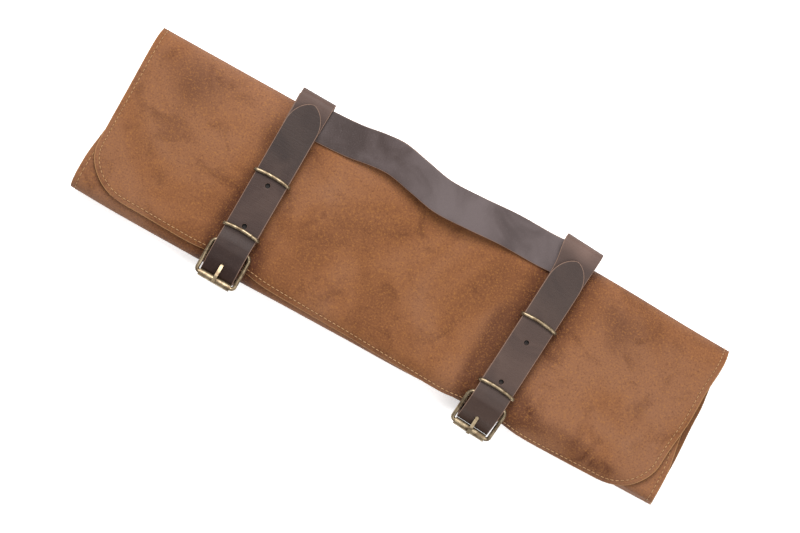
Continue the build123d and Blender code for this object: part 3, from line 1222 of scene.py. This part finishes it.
    def flap_blend(self, piece: bpy.types.Object) -> bpy.types.Object:
        """Bake a piece's placement into its mesh.

        Args:
            piece: The piece.

        Returns:
            The same piece.
        """
        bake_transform(piece)
        return piece

    def leaf_blend(self, piece: bpy.types.Object) -> bpy.types.Object:
        """Bake a piece's placement into its mesh.

        Args:
            piece: The piece.

        Returns:
            The same piece.
        """
        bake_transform(piece)
        return piece

    def linings(self) -> list[bpy.types.Object]:
        """The three cloth linings, just inside the leather.

        Returns:
            The finished pieces.
        """
        s, cloth = self.shape, self.wardrobe.lining
        trim, short, hem = 2.0 * MM, 9.0 * MM, 6.0 * MM
        route = self.outer_route(s.leather)
        outer = SlantedEdge(Sheet(
            name="outer_lining", route=route, plane=UPRIGHT,
            rows=rounded_rows(trim, route.length - hem, self.cell * 1.3, s.corner - hem),
            sides=self.outer_sides(route, hem), columns=100, thickness=s.cloth, offset=-1.0,
            lift=self.outer_lift(route), sway=s.turn_under,
        ), self.flap_edge, s.corner)
        flat = (s.flap_high.x - s.flap_low.x - 2 * hem, route.length - hem - trim)
        made = [self.flap_blend(outer.stand_in(cloth, flat, "flap_lining"))]

        route = self.inner_route(s.leather)
        ends = (s.inner_low.x + short, s.inner_high.x - short)
        inner = Sheet(
            name="leaf_lining", route=route, plane=UPRIGHT,
            rows=spread(trim, route.length, self.cell * 1.3), sides=lambda along: ends,
            columns=100, thickness=s.cloth, offset=-1.0, sway=s.splay,
        )
        flat = (ends[1] - ends[0], route.length - trim)
        made.append(self.leaf_blend(inner.stand_in(cloth, flat, "inner_lining")))

        back = self.back_sheet("back_lining_cloth", s.base_z + s.leather, ends, s.cloth)
        flat = (ends[1] - ends[0], back.route.length)
        made.append(back.stand_in(cloth, flat, "back_lining"))
        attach(made[-1], "case")
        return made

    def seams(self, outer: Sheet, inner: Sheet, back: Sheet) -> list[bpy.types.Object]:
        """The stitched lines along the edges of the three covers.

        Args:
            outer: The outer cover.
            inner: The inner cover.
            back: The back cover.

        Returns:
            The finished seams.
        """
        s = self.shape
        gap = 1 * MM
        left, right = s.flap_low.x + s.inset, s.flap_high.x - s.inset
        end = outer.route.length - s.inset
        radius = s.corner - s.inset
        made = []
        line = Route([(right, gap), (right, end), (left, end), (left, gap)], [radius, radius])
        seam = Seam("outer_seam", outer, line, s.pitch)
        made.append(self.flap_blend(seam.build(self.wardrobe.thread)))
        left, right = s.inner_low.x + s.inset, s.inner_high.x - s.inset
        end = inner.route.length - gap
        line = Route([(right, end), (right, s.inset), (left, s.inset), (left, end)],
                     [3 * MM, 3 * MM])
        seam = Seam("leaf_seam", inner, line, s.pitch)
        made.append(self.leaf_blend(seam.build(self.wardrobe.thread)))
        for name, x in (("back_seam_left", left), ("back_seam_right", right)):
            line = Route([(x, gap), (x, back.route.length - gap)], [])
            piece = Seam(name, back, line, s.pitch).build(self.wardrobe.thread)
            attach(piece, "case")
            made.append(piece)
        return made


@dataclass
class SlantedEdge(Sheet):
    """A sheet whose last rows are drawn in, so that its free edge runs at an angle."""

    def __init__(self, base: Sheet, short: Callable[[float], float], zone: float) -> None:
        """Copy a sheet and give it a slanted free edge.

        Args:
            base: The sheet.
            short: How far short its edge is cut, at a place across.
            zone: Length over which its rows are drawn in.
        """
        super().__init__(**{name: getattr(base, name) for name in (
            "name", "route", "plane", "rows", "sides", "columns", "thickness", "offset",
            "lift", "sway", "shade_and_wear", "thin", "holes")})
        self.short = short
        self.zone = zone

    def put(self, across: float, along: float, rise: float = 0.0) -> Vector:
        """Place a point, with the last stretch drawn in by the slant."""
        share = smooth(self.route.length - 2.2 * self.zone, self.route.length, along)
        return Sheet.put(self, across, along - self.short(across) * share, rise)


@dataclass
class Seam:
    """A line of stitches that follows a sheet's surface.

    Args:
        name: The piece's name.
        sheet: The sheet that it is sewn through.
        line: Its line on the flat cut.
        pitch: Distance from stitch to stitch.
    """

    name: str
    sheet: Sheet
    line: Route
    pitch: float
    thread: float = 0.36 * MM
    reach: float = 0.40
    stand: float = 0.10 * MM

    def build(self, material: bpy.types.Material) -> bpy.types.Object:
        """Make the stitches as one piece.

        Args:
            material: The thread's finish.

        Returns:
            The seam.
        """
        bm = bmesh.new()
        count = int(self.line.length / self.pitch)
        side = -1.0 if self.sheet.offset < 0 else 1.0
        for i in range(count):
            middle = (i + 0.5) * self.line.length / count
            ends = []
            for way in (-1, 1):
                spot = self.line.at(middle + way * self.reach * self.pitch)[0]
                ends.append(self.sheet.put(spot.x, spot.y, side * self.stand))
            run = ends[1] - ends[0]
            turn = run.to_track_quat("Z", "Y").to_matrix().to_4x4()
            size = Matrix.Diagonal((self.thread, self.thread, run.length / 2, 1.0))
            where = Matrix.Translation((ends[0] + ends[1]) / 2) @ turn @ size
            bmesh.ops.create_uvsphere(bm, u_segments=7, v_segments=5, radius=1.0, matrix=where)
        return to_object(bm, self.name, material)


# ---------------------------------------------------------------- sleeves inside


@dataclass
class Sleeves:
    """Soft sleeves sewn to a lining, which hold the brushes."""

    name: str
    node: str
    count: int
    up: float
    wardrobe: Wardrobe
    thickness: float = 1.0 * MM
    seam: float = 3.0 * MM
    slope: float = 1.2 * MM
    foot_radius: float = 0.9 * MM
    top_radius: float = 2.4 * MM
    shut_length: float = 22 * MM
    shut_share: float = 0.80
    cell: float = 1.4 * MM

    def build(self, body: str) -> bpy.types.Object:
        """Make the row of sleeves.

        Args:
            body: The CAD body that it rides on.

        Returns:
            The finished piece.
        """
        low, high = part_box(self.node)
        base = low.z if self.up > 0 else high.z
        height = high.z - low.z - self.thickness / 2
        pitch = (high.y - low.y) / self.count
        level = base + self.up * self.thickness / 2
        top = base + self.up * height
        corners = [(low.y, level)]
        for i in range(self.count):
            first = low.y + i * pitch + self.seam / 2
            last = first + pitch - self.seam
            corners += [(first, level), (first + self.slope, top),
                        (last - self.slope, top), (last, level)]
        corners.append((high.y, level))
        foot, crown = self.foot_radius, self.top_radius
        route = Route(corners, [foot, crown, crown, foot] * self.count)
        sheet = Sheet(
            name=self.name, route=route, plane=UPRIGHT, rows=spread(0.0, route.length, self.cell),
            sides=lambda along: (low.x, high.x), columns=56, thickness=self.thickness,
        )
        piece = sheet.build(self.wardrobe.roll)
        for v in piece.data.vertices:
            shut = 1 - smooth(low.x + 1 * MM, low.x + self.shut_length, v.co.x)
            v.co.z = level + (v.co.z - level) * (1 - self.shut_share * shut)
        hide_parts(self.node)
        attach(piece, body)
        return piece


# ---------------------------------------------------------------- straps and buckles


class Side(Enum):
    """The two straps."""

    LEFT = "left"
    RIGHT = "right"


@dataclass
class WireRing:
    """A closed ring of oval wire round a strap, domed on top.

    Args:
        name: The piece's name.
        plane: The strap's own plane.
        along: Where it sits along the strap.
        middle: Height of its middle.
        half_width: Half its width, to the middle of the wire.
        half_height: Half its height, to the middle of the wire.
    """

    name: str
    plane: Matrix
    along: float
    middle: float
    half_width: float
    half_height: float
    wire_across: float = 1.0 * MM
    wire_along: float = 1.35 * MM
    corner: float = 2.0 * MM
    dome: float = 0.7 * MM
    lean: float = 1.3 * MM
    big: float = 3.0
    wire_faces: int = 12
    ring_faces: int = 110

    def build(self, material: bpy.types.Material) -> bpy.types.Object:
        """Spin a ring and lay it along its rounded outline.

        Args:
            material: Its finish.

        Returns:
            The finished ring.
        """
        w, h = self.half_width, self.half_height
        outline = Route([(0, -h), (w, -h), (w, h), (-w, h), (-w, -h), (0, -h)], [self.corner] * 4)
        bm = bmesh.new()
        section = bmesh.ops.create_circle(
            bm, segments=self.wire_faces, radius=1.0,
            matrix=Matrix.Translation((self.big, 0, 0)) @ Matrix.Rotation(math.pi / 2, 4, "X"))
        bmesh.ops.spin(bm, geom=section["verts"] + bm.edges[:], cent=(0, 0, 0), axis=(0, 0, 1),
                       angle=2 * math.pi, steps=self.ring_faces, use_merge=True)
        for v in bm.verts:
            share = (math.atan2(v.co.y, v.co.x) / (2 * math.pi)) % 1.0
            point, way = outline.at(share * outline.length)
            bow = (1 - min(1.0, abs(point.x) / w) ** 2) * smooth(-h, h, point.y)
            out = (math.hypot(v.co.x, v.co.y) - self.big) * self.wire_across
            spot = point + Vector((way.y, -way.x)) * out
            v.co = self.plane @ Vector((
                self.along + v.co.z * self.wire_along + self.lean * bow,
                self.middle + spot.y + self.dome * bow, spot.x))
        bmesh.ops.recalc_face_normals(bm, faces=bm.faces)
        return to_object(bm, self.name, material)


@dataclass
class StrapSet:
    """One strap with its tail, roller, tongue and metalwork.

    Args:
        side: Which strap.
        shape: The roll that it is buckled round.
        wardrobe: The finishes.
    """

    side: Side
    shape: RollShape
    wardrobe: Wardrobe
    width: float = 25.4 * MM
    thickness: float = 2.0 * MM
    tip: float = 20.0 * MM
    hole_pitch: float = 33.0 * MM
    hole_count: int = 3
    slot_place: float = 15.9 * MM
    rise: float = -69.0 * MM
    under_end: float = -48 * MM
    under_z: float = 1 * MM
    wrap: float = 2.7 * MM
    waist: float = 2.3 * MM
    bend_radius: float = 13 * MM
    slot_half_width: float = 1.9 * MM
    hole_radius: float = 2.0 * MM
    columns: int = 20
    snug: dict[Side, float] = field(
        default_factory=lambda: {Side.LEFT: 2.8 * MM, Side.RIGHT: 2.1 * MM})
    flare: dict[Side, float] = field(
        default_factory=lambda: {Side.LEFT: 0.4 * MM, Side.RIGHT: 4.2 * MM})
    pale_loop: dict[Side, float] = field(
        default_factory=lambda: {Side.LEFT: 0.5, Side.RIGHT: 0.8})
    cell: float = 1.27 * MM

    def __post_init__(self) -> None:
        """Read this strap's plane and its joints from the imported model."""
        name = self.side.value
        joints = {j["name"]: j for j in frame["joints"]}
        along = Vector(joints[f"{name}_keeper_slide"]["axis"]).normalized()
        across = Vector(joints[f"{name}_roller_spin"]["axis"]).normalized()
        x, _ = self.shape.straps[name]
        self.plane = Matrix.Translation((x, 0, 0)) @ Matrix((
            (along.x, 0, across.x, 0), (along.y, 0, across.y, 0), (0, 1, 0, 0), (0, 0, 0, 1)))
        self.heel = self.flat(joints[f"{name}_frame_pivot"]["pos_m"])
        self.roller = self.flat(joints[f"{name}_roller_spin"]["pos_m"])
        self.turn = self.flat(joints[f"{name}_tail_straighten"]["pos_m"])
        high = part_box(f"{name}_strap_tail")[1]
        self.tail_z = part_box(f"{name}_chape_rivets")[1].z + 0.3 * MM + self.thickness / 2
        self.front_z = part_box(f"{name}_chape_rivets")[1].z - 0.5 * MM - self.thickness / 2
        self.tip_y = high.y / along.y

    def flat(self, point: Sequence[float]) -> Vector:
        """A point of the model as distances along the strap and up."""
        local = self.plane.inverted() @ Vector(point)
        return Vector((local.x, local.y))

    def in_buckle(self, along: float, above: float) -> Point2:
        """A point measured from the heel bar in the buckle's own tilt.

        Args:
            along: Distance from the heel bar toward the roller.
            above: Distance off the buckle's own plane.

        Returns:
            The point in the strap's plane.
        """
        way = (self.roller - self.heel).normalized()
        up = Vector((way.y, -way.x))
        spot = self.heel + way * along + up * above
        return (spot.x, spot.y)

    def strap_sides(self, along: float) -> Point2:
        """The strap's edges where it is at its full width."""
        return -self.width / 2, self.width / 2

    def body_strap(self) -> bpy.types.Object:
        """The strap from its folded end, round the heel bar, over the top and under the roll.

        Returns:
            The finished piece.
        """
        name = self.side.value
        heel, wrap = self.heel, self.wrap
        chape_z = self.shape.top_z + 0.3 * MM + 0.6 * MM
        loop_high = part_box(f"{name}_strap_loop")[1]
        reach = loop_high.y - 1.0 * MM
        tab_z = sum(v.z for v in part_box(f"{name}_handle_end")) / 2
        corners = [
            (heel.x + 23 * MM, chape_z),
            (heel.x + 4 * MM, chape_z),
            (heel.x - 0.5 * MM, heel.y - wrap),
            (heel.x - wrap, heel.y - wrap),
            (heel.x - wrap, heel.y + wrap),
            (heel.x + 3.5 * MM, heel.y + wrap),
            (heel.x + 7.5 * MM, self.front_z),
            (reach, self.front_z),
            (reach, tab_z - 5 * MM),
            (reach - 12 * MM, self.under_z),
            (self.under_end, self.under_z),
        ]
        radii = [3 * MM, 0.2 * MM, 2.5 * MM, wrap - 0.02 * MM, 3 * MM, 3 * MM,
                 4.5 * MM, 6 * MM, 10 * MM]
        route = Route(corners, radii)
        wrap_from, wrap_to = 18.5 * MM, 18.5 * MM + 20 * MM

        def sides(along: float) -> Point2:
            """Narrower round the heel bar, wider where the loop flares.

            Args:
                along: Distance along the route.

            Returns:
                The two edges.
            """
            narrow = smooth(wrap_from - 3 * MM, wrap_from, along) * (
                1 - smooth(wrap_to, wrap_to + 4 * MM, along))
            half = self.width / 2 - self.waist * narrow
            loop = bell(along - self.loop_from(route, reach), 15 * MM)
            return -half - self.flare[self.side] * loop, half + 0.4 * MM * loop

        middle = (wrap_from + wrap_to) / 2 + 1.0 * MM
        sheet = Sheet(
            name=f"{name}_strap", route=route, plane=self.plane,
            rows=spread(0.0, route.length, self.cell), sides=sides, columns=self.columns,
            thickness=self.thickness, thin=lambda along: 0.6 if along < 17 * MM else 1.0,
            holes=[((0.0, middle), (self.slot_half_width, 8.0 * MM))], shade_and_wear=self.strap_shadow_and_stretch,
            lift=lambda across, along: 0.10 * MM * ripple(
                across, along, 60, 2.0 + self.heel.x * 99),
        )
        piece = sheet.stand_in(self.wardrobe.strap, (self.width, route.length),
                               f"{name}_strap_front", f"{name}_strap_loop", f"{name}_strap_back")
        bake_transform(piece)
        return piece

    def loop_from(self, route: Route, reach: float) -> float:
        """Distance along the strap at which it first comes to the top of its loop."""
        return min(d for d in spread(0.0, route.length, 1 * MM)
                   if route.at(d)[0].x >= reach - 3 * MM)

    def strap_shadow_and_stretch(self, point: Vector) -> float:
        """Painted shadow seen through the tail's holes, and pale where the loop is bent.

        Args:
            point: A point of the model.

        Returns:
            Above 0 where it is dark, and below 0 where it is pale.
        """
        local = self.flat(point)
        across = (self.plane.inverted() @ point).z
        places = [self.heel.x - self.slot_place + n * self.hole_pitch
                  for n in range(self.hole_count)]
        # Painted shadow under each of the tail's holes.
        dark = max(bell(math.hypot(local.x - x, across), 3.4 * MM) for x in places)
        pale = self.pale_loop[self.side] * smooth(60 * MM, 71 * MM, local.x)
        return dark * 1.3 - pale * (0.7 + 0.5 * ripple(point.x, point.y, 70, 8.0))

    def tail_darkening(self, point: Vector) -> float:
        """Darker toward the tail's tip and where it comes through the buckle.

        Args:
            point: A point of the model.

        Returns:
            Above 0 where it is dark.
        """
        local = self.flat(point)
        tip = 0.46 * smooth(-2 * MM, 36 * MM, local.x)
        return tip + 0.26 * smooth(self.heel.x + 22 * MM, self.heel.x + 8 * MM, local.x)

    def tail_route(self) -> Route:
        """The tail's line, from under the roll to its tip.

        Returns:
            The route, in the strap's plane.
        """
        heel = self.heel
        over = heel.y + 5.0 * MM
        corners = [
            (self.under_end, self.under_z),
            (self.rise, self.under_z),
            tuple(self.turn + (self.roller - self.heel).normalized() * self.snug[self.side]),
            self.in_buckle(12.8 * MM, 3.8 * MM),
            (heel.x - 3 * MM, over),
            (heel.x + 3.5 * MM, over),
            (heel.x + 8.5 * MM, self.tail_z),
            (self.tip_y, self.tail_z),
        ]
        return Route(corners, [self.bend_radius, 3 * MM, 2.5 * MM, 4 * MM, 6 * MM, 6 * MM])

    def tail(self) -> list[bpy.types.Object]:
        """The tail in its two stretches, with its holes.

        Returns:
            The lower bend and the long upper part.
        """
        name = self.side.value
        route = self.tail_route()
        split = 16 * MM + self.bend_radius * math.pi / 2
        first_hole = self.find_along(route, self.heel.x - self.slot_place)
        rounding = self.tip
        last = route.length

        def sides(along: float) -> Point2:
            """The tail's edges, drawn in to its rounded tip.

            Args:
                along: Distance along the route.

            Returns:
                The two edges.
            """
            past = max(0.0, along - (last - rounding)) / rounding
            half = max(0.25 * MM, self.width / 2 * (1 - min(1.0, past) ** 2.2) ** 0.62)
            return -half, half

        lower = Sheet(
            name=f"{name}_tail_lower", route=route, plane=self.plane,
            rows=spread(0.0, split, self.cell), sides=self.strap_sides, columns=self.columns,
            thickness=self.thickness,
        ).stand_in(self.wardrobe.strap, (self.width, split), f"{name}_tail_bend")
        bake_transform(lower)
        holes = [((0.0, first_hole), (self.slot_half_width, 3.6 * MM))]
        for i in range(1, self.hole_count):
            place = first_hole + i * self.hole_pitch + 1.0 * MM
            holes.append(((0.0, place), (self.hole_radius, self.hole_radius)))
        rows = rounded_rows(split, last, self.cell, rounding, turns=14)
        upper = Sheet(
            name=f"{name}_tail_upper", route=route, plane=self.plane, rows=rows, sides=sides,
            columns=self.columns, thickness=self.thickness, holes=holes, shade_and_wear=self.tail_darkening,
        ).stand_in(self.wardrobe.strap, (self.width, last - split), f"{name}_strap_tail")
        turn = self.plane @ Vector((self.turn.x, self.turn.y, 0))
        away = self.plane.to_3x3() @ Vector((0.6, 0.8, 0)) * 6 * MM
        turn - away
        turn + away
        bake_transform(upper)
        return [lower, upper]

    def find_along(self, route: Route, place: float) -> float:
        """Distance along the tail's line at which it last passes a place along the strap."""
        return max((d for d in spread(0.0, route.length, 0.4 * MM) if route.at(d)[0].x <= place),
                   default=0.0)

    def keepers(self) -> None:
        """The two domed wire keepers, leaning a little toward the loop."""
        name = self.side.value
        for node, body in (("fixed_keeper", "flap"), ("loose_keeper", f"{name}_keeper")):
            low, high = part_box(f"{name}_{node}")
            middle = self.flat((low + high) / 2)
            ring = WireRing(
                name=f"{name}_{node}_wire", plane=self.plane, along=middle.x, middle=middle.y,
                half_width=14.0 * MM, half_height=(high.z - low.z) / 2 - 1.0 * MM,
            ).build(self.wardrobe.brass)
            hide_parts(f"{name}_{node}")
            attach(ring, body)

    def metal(self) -> None:
        """Give the wire frame, roller, tongue and rivets their finish."""
        name = self.side.value
        for node in ("buckle_frame", "buckle_roller", "buckle_tongue", "chape_rivets"):
            piece = frame["nodes"][f"{name}_{node}"]
            for slot in piece.material_slots:
                slot.material = self.wardrobe.brass
        self.keepers()

    def build(self) -> list[bpy.types.Object]:
        """Make the strap and dress its metal.

        Returns:
            The finished leather pieces.
        """
        made = [self.body_strap()] + self.tail()
        self.metal()
        return made


@dataclass
class Handle:
    """The carrying strip between the straps.

    Args:
        wardrobe: The finishes.
    """

    wardrobe: Wardrobe
    width: float = 25.4 * MM
    thickness: float = 2.4 * MM
    twist: float = math.radians(9)
    cell: float = 1.6 * MM
    wander: Sequence[Point2] = (
        (-0.1, -1.0), (0.03, -0.4), (0.13, 0.8), (0.222, 3.4), (0.302, 4.2), (0.409, 0.4),
        (0.52, -3.5), (0.653, -2.7), (0.797, -0.7), (0.9, -0.6), (1.1, -1.2))

    def along_share(self, x: float, low: float, high: float) -> float:
        """A place along the handle as a share of its length."""
        return min(1.0, max(0.0, (x - low) / (high - low)))

    def offset(self, share: float) -> float:
        """How far the strip wanders to the side, at a share of its length.

        Args:
            share: A share of its length, from 0 to 1.

        Returns:
            The distance to the side.
        """
        stops = self.wander
        i = max(1, min(len(stops) - 3, sum(1 for place, _ in stops if place <= share) - 1))
        (p0, v0), (p1, v1), (p2, v2), (p3, v3) = stops[i - 1:i + 3]
        t = (share - p1) / (p2 - p1)
        lean_in = (v2 - v0) / (p2 - p0) * (p2 - p1)
        lean_out = (v3 - v1) / (p3 - p1) * (p2 - p1)
        rise = v1 * (2 * t ** 3 - 3 * t ** 2 + 1) + v2 * (3 * t ** 2 - 2 * t ** 3)
        return (rise + lean_in * (t ** 3 - 2 * t ** 2 + t) + lean_out * (t ** 3 - t ** 2)) * MM

    def build(self) -> bpy.types.Object:
        """Make the handle with its two flat ends.

        Returns:
            The finished piece.
        """
        left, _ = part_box("left_handle_end")
        _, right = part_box("right_handle_end")
        low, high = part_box("handle_strip")
        tab = sum(v.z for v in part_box("left_handle_end")) / 2
        rise = high.z - self.thickness / 2 - tab
        middle_y = (low.y + high.y) / 2

        def bend(point: Vector) -> Vector:
            """Arch, twist and wander of the strip between its two ends.

            Args:
                point: A point of the flat strip.

            Returns:
                How far the point is moved.
            """
            share = self.along_share(point.x, low.x, high.x)
            arch = smooth(0.0, 0.5, share) * smooth(1.0, 0.5, share)
            twist = self.twist * math.sin(share * math.pi * 2) * arch
            side = point.y - middle_y
            return Vector((0, self.offset(share) + side * (math.cos(twist) - 1),
                           rise * arch + side * math.sin(twist)))

        route = Route([(left.x, tab), (right.x, tab)], [])
        plane = Matrix.Translation((0, middle_y, 0)) @ Matrix(
            ((1, 0, 0, 0), (0, 0, 1, 0), (0, 1, 0, 0), (0, 0, 0, 1)))
        sheet = Sheet(
            name="handle", route=route, plane=plane, rows=spread(0.0, route.length, self.cell),
            sides=lambda along: (-self.width / 2, self.width / 2), columns=16,
            thickness=self.thickness, sway=bend,
        )
        piece = sheet.stand_in(self.wardrobe.handle, (self.width, route.length),
                               "handle_strip", "left_handle_end", "right_handle_end")
        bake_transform(piece)
        return piece


# ---------------------------------------------------------------- studio


@dataclass
class Studio:
    """Floor, soft light and the camera, straight above the roll."""

    turn: float = math.radians(29.2)
    aim: Point2 = (-2.5 * MM, -1.0 * MM)
    seen_width: float = 0.569
    distance: float = 1.45
    level: float = 31.8 * MM
    sensor: float = 36.0
    glow: float = 0.40
    floor_size: float = 6.0
    floor_z: float = -0.4 * MM

    def build(self) -> None:
        """Set the whole studio up."""
        scene = bpy.context.scene
        scene.view_settings.view_transform = "Standard"
        self.floor()
        self.lamp("key", (-0.35, 0.75, 1.3), 0.9, 33.0)
        self.lamp("fill", (0.75, -0.3, 1.35), 1.1, 13.0)
        self.world(scene)
        self.camera(scene)

    def floor(self) -> None:
        """A wide pale floor."""
        bm = bmesh.new()
        bmesh.ops.create_grid(bm, x_segments=1, y_segments=1, size=self.floor_size)
        bmesh.ops.translate(bm, verts=bm.verts[:], vec=(0, 0, self.floor_z))
        floor = to_object(bm, "floor", StudioPaper().material())

    def lamp(self, name: str, place: tuple[float, float, float], size: float, power: float) -> None:
        """A square soft light aimed at the roll.

        Args:
            name: The lamp's name.
            place: Where it stands.
            size: Its side.
            power: Its power in watts.
        """
        data = bpy.data.lights.new(name, "AREA")
        data.size = size
        data.energy = power
        lamp = bpy.data.objects.new(name, data)
        lamp.location = place
        lamp.rotation_euler = (-Vector(place)).to_track_quat("-Z", "Y").to_euler()
        bpy.context.scene.collection.objects.link(lamp)

    def world(self, scene: bpy.types.Scene) -> None:
        """Even white light from all round.

        Args:
            scene: The scene that is rendered.
        """
        world = bpy.data.worlds.new("studio")
        world.use_nodes = True
        back = world.node_tree.nodes["Background"]
        back.inputs[0].default_value = (1.0, 1.0, 1.0, 1.0)
        back.inputs[1].default_value = self.glow
        scene.world = world

    def camera(self, scene: bpy.types.Scene) -> None:
        """A long lens looking straight down, turned so that the roll lies on a slant.

        Args:
            scene: The scene that is rendered.
        """
        data = bpy.data.cameras.new("camera")
        data.sensor_width = self.sensor
        data.lens = self.sensor * self.distance / self.seen_width
        camera = bpy.data.objects.new("camera", data)
        camera.location = (self.aim[0], self.aim[1], self.level + self.distance)
        camera.rotation_euler = (0, 0, self.turn)
        scene.collection.objects.link(camera)
        scene.camera = camera


def main() -> None:
    """Build every piece in order."""
    logging.basicConfig(level=logging.INFO, format="%(name)s: %(message)s")
    Studio().build()
    wardrobe = Wardrobe()
    shape = RollShape()
    covers = Covers(shape, wardrobe)
    for piece in covers.build():
        log.info("%s: %d faces", piece.name, len(piece.data.polygons))
    for sleeves, body in (
        (Sleeves("back_sleeves", "back_pocket_panel", 3, 1.0, wardrobe), "case"),
        (Sleeves("leaf_sleeves", "inner_pocket_panel", 2, -1.0, wardrobe), "inner_leaf"),
    ):
        log.info("%s: %d faces", sleeves.name, len(sleeves.build(body).data.polygons))
    for side in Side:
        for piece in StrapSet(side, shape, wardrobe).build():
            log.info("%s: %d faces", piece.name, len(piece.data.polygons))
    handle = Handle(wardrobe).build()
    log.info("%s: %d faces", handle.name, len(handle.data.polygons))


if __name__ == "__main__":
    main()
